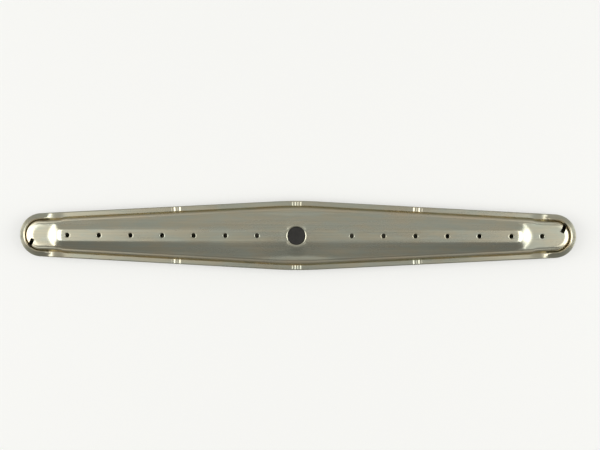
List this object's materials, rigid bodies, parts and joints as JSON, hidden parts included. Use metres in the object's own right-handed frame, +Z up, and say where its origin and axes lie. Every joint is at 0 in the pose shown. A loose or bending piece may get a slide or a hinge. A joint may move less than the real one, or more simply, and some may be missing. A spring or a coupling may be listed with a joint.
{
  "type": "dishwasher wash arm",
  "caption": "Long tapered wash arm of folded-together stainless pressings, with spray holes along its ridge, drive slots at its round ends and a moulded bearing hub that turns on a post.",
  "frame": {"origin": "on the hub's axis, in the plane of the flat underside", "axes": "+Z up along the hub's axis, towards the spray holes; +X along the arm, towards the end whose row of holes runs out onto the round end"},
  "size_m": [0.478, 0.0596, 0.0192],
  "materials": {
    "stainless_sheet": "mill-rolled satin, pressed, with fine lines along the arm",
    "black_plastic": "moulded, matte"
  },
  "bodies": {
    "root": {"upper_shell": "stainless_sheet", "lower_shell": "stainless_sheet", "bearing_hub": "black_plastic"}
  },
  "joints": []
}
